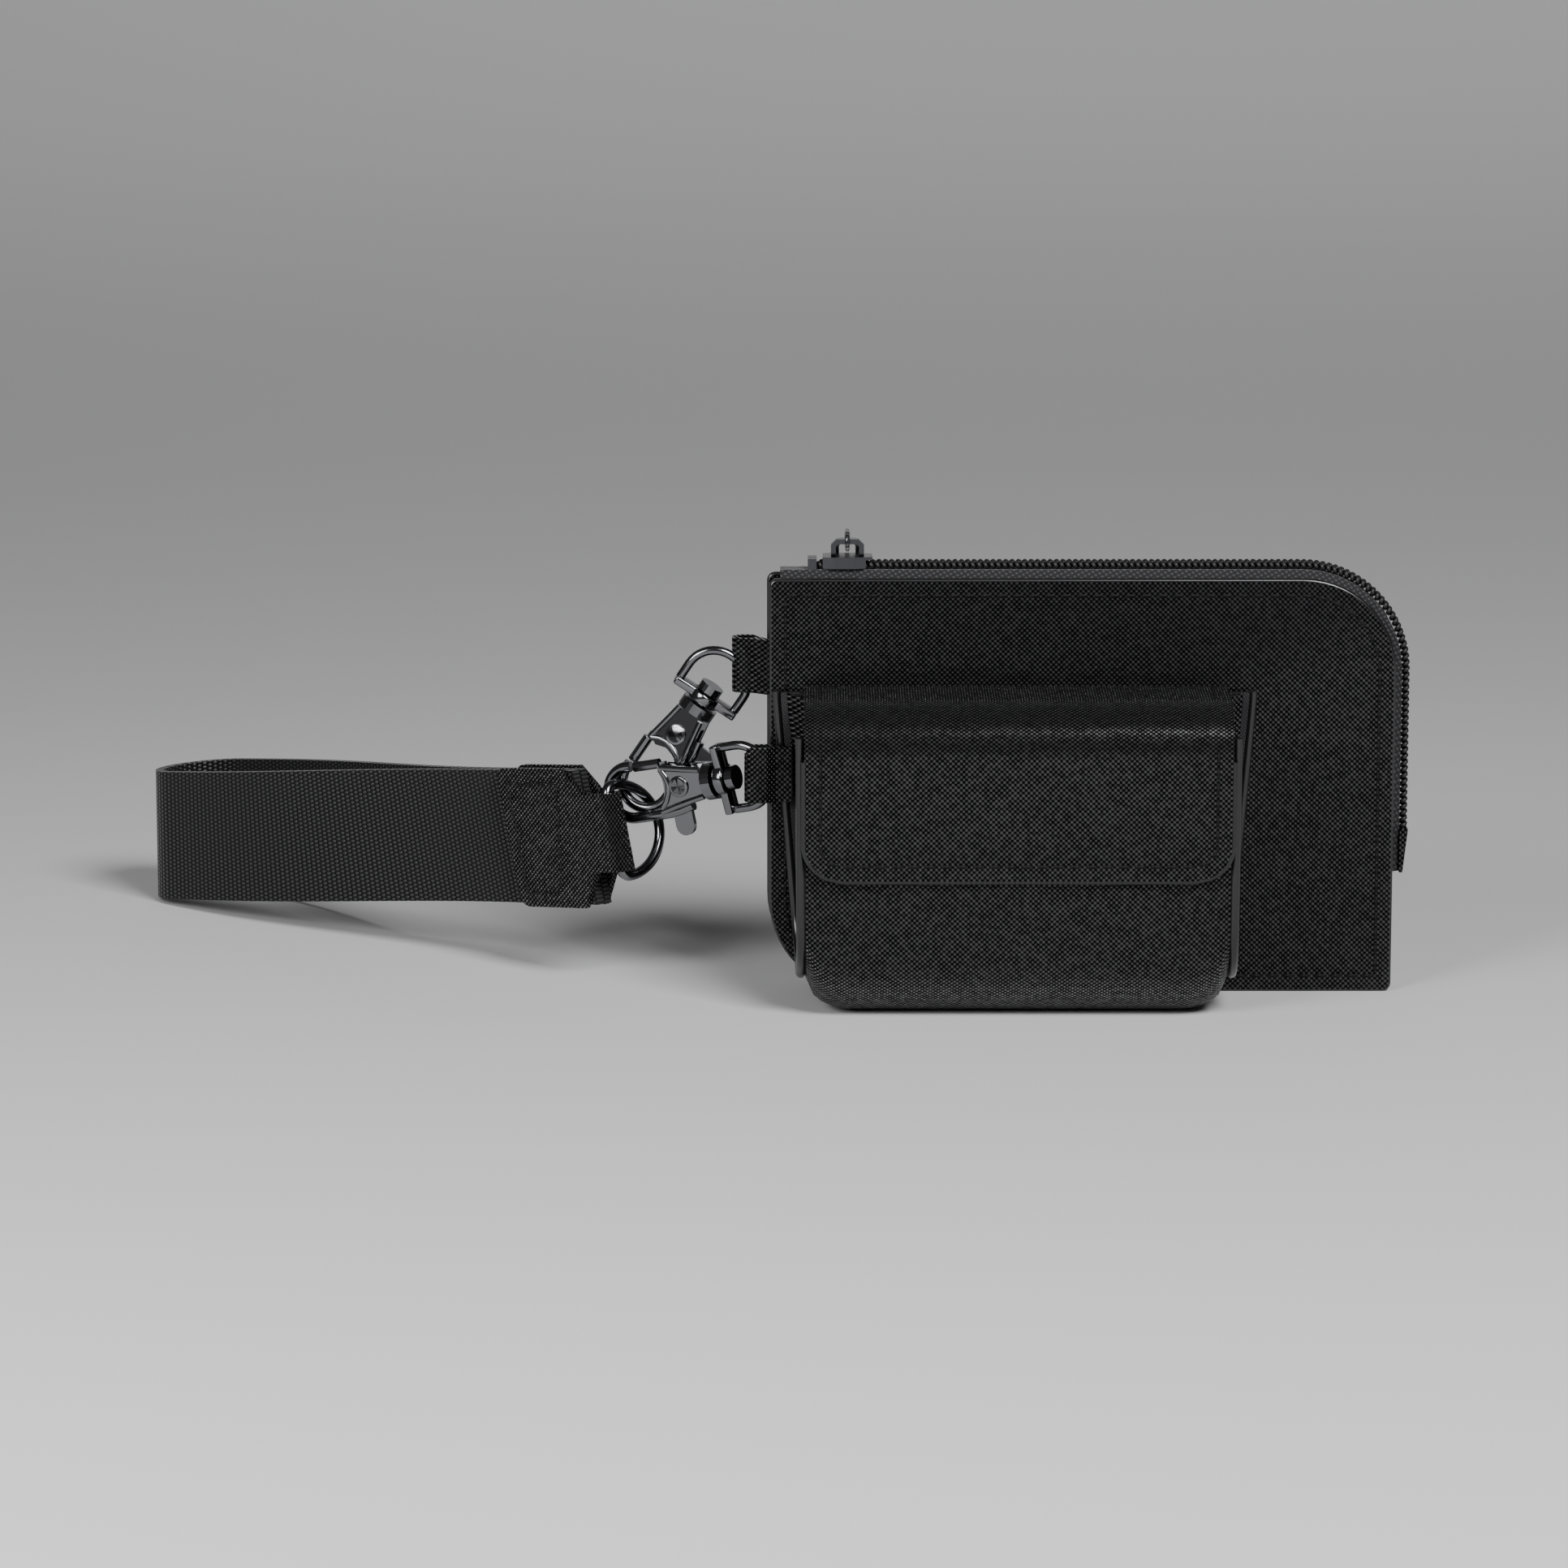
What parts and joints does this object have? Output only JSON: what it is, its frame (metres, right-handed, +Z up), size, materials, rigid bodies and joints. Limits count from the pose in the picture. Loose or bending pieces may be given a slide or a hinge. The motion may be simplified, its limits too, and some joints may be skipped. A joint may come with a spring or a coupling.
{
  "type": "zippered pouch wristlet set",
  "caption": "Flat L-zip card wallet with a small flap pouch, both clipped to the D-ring of a webbing wrist strap by swivel trigger clasps.",
  "frame": {"origin": "middle of the wallet's bottom edge, on the surface it stands on", "axes": "+X to the wallet's rounded zip corner, +Y from the pouch side to the back, +Z up"},
  "size_m": [0.2358, 0.1183, 0.0844],
  "materials": {
    "saffiano": "cross-hatch embossed coated leather, semi-gloss",
    "lining": "woven nylon lining, matt",
    "zip_tape": "woven polyester zip tape, matt",
    "zip_coil": "moulded nylon coil, satin",
    "webbing": "dense woven nylon webbing, slight sheen",
    "gunmetal": "polished gunmetal plating on zinc alloy",
    "magnet": "nickel-plated magnet disc"
  },
  "bodies": {
    "wallet": {"wallet_front_panel": "saffiano", "wallet_back_panel": "saffiano", "wallet_front_lining": "lining", "wallet_back_lining": "lining", "wallet_edge_welt": "saffiano", "card_pocket": "lining", "zip_tape_front": "zip_tape", "zip_tape_back": "zip_tape", "zip_coil_front": "zip_coil", "zip_coil_back": "zip_coil", "zip_top_stop_front": "gunmetal", "zip_top_stop_back": "gunmetal", "zip_bottom_stop": "gunmetal", "zip_end_patch": "saffiano", "wallet_tab": "saffiano"},
    "slider": {"zip_slider": "gunmetal"},
    "pull_link": {"zip_pull_link": "gunmetal"},
    "pull": {"zip_pull": "gunmetal"},
    "pouch": {"pouch_shell": "saffiano", "pouch_lining": "lining", "pouch_gusset_left": "saffiano", "pouch_gusset_right": "saffiano", "body_magnet": "magnet", "pouch_tab": "saffiano"},
    "flap_top": {"pouch_flap_top": "saffiano"},
    "flap_front": {"pouch_flap_front": "saffiano", "flap_magnet": "magnet"},
    "upper_loop": {"upper_clasp_loop": "gunmetal"},
    "upper_hook": {"upper_clasp_swivel_rivet": "gunmetal", "upper_clasp_hook": "gunmetal", "upper_clasp_lever_pin": "gunmetal", "upper_clasp_lever_spring": "gunmetal"},
    "upper_lever": {"upper_clasp_lever": "gunmetal"},
    "lower_loop": {"lower_clasp_loop": "gunmetal"},
    "lower_hook": {"lower_clasp_swivel_rivet": "gunmetal", "lower_clasp_hook": "gunmetal", "lower_clasp_lever_pin": "gunmetal", "lower_clasp_lever_spring": "gunmetal"},
    "lower_lever": {"lower_clasp_lever": "gunmetal"},
    "ring": {"d_ring": "gunmetal"},
    "strap": {"strap_end_leather": "saffiano", "webbing_loop": "webbing"}
  },
  "joints": [
    {"name": "slider_travel", "type": "slide", "parent": "wallet", "child": "slider", "axis": [1, 0, 0], "range_m": [0, 0.075]},
    {"name": "pull_link_swing", "type": "hinge", "parent": "slider", "child": "pull_link", "pos_m": [-0.0426, 0, 0.0825], "axis": [1, 0, 0], "range_deg": [0, 150]},
    {"name": "pull_swing", "type": "hinge", "parent": "pull_link", "child": "pull", "pos_m": [-0.0426, 0.00575, 0.08049], "axis": [1, 0, 0], "range_deg": [0, 22]},
    {"name": "pouch_swing", "type": "hinge", "parent": "lower_loop", "child": "pouch", "pos_m": [-0.05701, -0.00842, 0.04152], "axis": [0, 0, -1], "range_deg": [0, 18]},
    {"name": "flap_open", "type": "hinge", "parent": "pouch", "child": "flap_top", "pos_m": [-0.013, -0.0062, 0.05622], "axis": [-1, 0, 0], "range_deg": [0, 90]},
    {"name": "flap_bend", "type": "hinge", "parent": "flap_top", "child": "flap_front", "pos_m": [-0.013, -0.031, 0.0511], "axis": [-1, 0, 0], "range_deg": [0, 45]},
    {"name": "upper_loop_swing", "type": "hinge", "parent": "wallet", "child": "upper_loop", "pos_m": [-0.06068, 0.00344, 0.05629], "axis": [0, 0, -1], "range_deg": [0, 10]},
    {"name": "upper_hook_swivel", "type": "hinge", "parent": "upper_loop", "child": "upper_hook", "pos_m": [-0.06848, 0.00403, 0.05317], "axis": [-0.5517, 0.0859, -0.8296], "range_deg": [-4, 2]},
    {"name": "upper_lever_press", "type": "hinge", "parent": "upper_hook", "child": "upper_lever", "pos_m": [-0.07323, 0.00477, 0.04604], "axis": [-0.3397, -0.9316, 0.1295], "range_deg": [0, 20], "stiffness_Nm_per_rad": 0.02},
    {"name": "ring_swing", "type": "hinge", "parent": "upper_loop", "child": "ring", "pos_m": [-0.0808, 0.0049, 0.036], "axis": [0, 0, -1], "range_deg": [0, 4]},
    {"name": "strap_swing", "type": "hinge", "parent": "ring", "child": "strap", "pos_m": [-0.08518, -0.00007, 0.02885], "axis": [-0.1884, 0.1801, 0.9654], "range_deg": [0, 18]},
    {"name": "lower_loop_swing", "type": "hinge", "parent": "ring", "child": "lower_loop", "pos_m": [-0.0819, 0.0042, 0.0353], "axis": [0, 0, -1], "range_deg": [0, 3]},
    {"name": "lower_hook_swivel", "type": "hinge", "parent": "lower_loop", "child": "lower_hook", "pos_m": [-0.06494, -0.00441, 0.03955], "axis": [-0.871, 0.4411, -0.2164], "range_deg": [-6, 2]},
    {"name": "lower_lever_press", "type": "hinge", "parent": "lower_hook", "child": "lower_lever", "pos_m": [-0.07243, -0.00061, 0.03769], "axis": [-0.4485, -0.8936, -0.0166], "range_deg": [0, 20], "stiffness_Nm_per_rad": 0.02}
  ],
  "couplings": [
    {"joint": "flap_bend", "follows": "flap_open", "ratio": 0.5}
  ]
}
